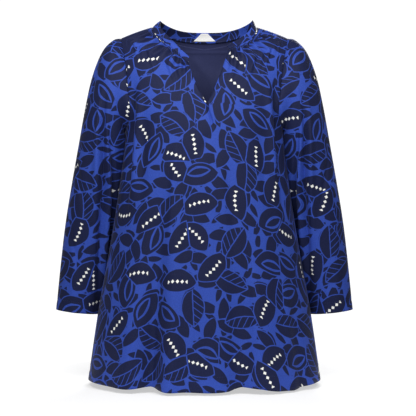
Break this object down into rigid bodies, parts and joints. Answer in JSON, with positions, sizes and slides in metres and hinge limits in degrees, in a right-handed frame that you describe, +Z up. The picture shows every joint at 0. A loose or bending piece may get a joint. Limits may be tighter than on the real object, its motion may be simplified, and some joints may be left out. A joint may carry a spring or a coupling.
{
  "type": "shift dress",
  "caption": "Hollow, filled-out long-sleeved shift dress with a notched stand neckband, gathered front and flared hem.",
  "frame": {"origin": "between the wearer's shoulders, level with the seam between neckband and shoulder", "axes": "+Z up towards the wearer's head, -Y out of the front, +X to the wearer's left"},
  "size_m": [0.69, 0.3166, 0.8321],
  "materials": {
    "printed_crepe": "soft sheen",
    "navy_lining": "matte",
    "label_tape": "matte"
  },
  "bodies": {
    "root": {"front": "printed_crepe", "back": "printed_crepe", "sleeve_left": "printed_crepe", "sleeve_right": "printed_crepe", "neckband": "printed_crepe", "back_lining": "navy_lining", "label": "label_tape"}
  },
  "joints": []
}
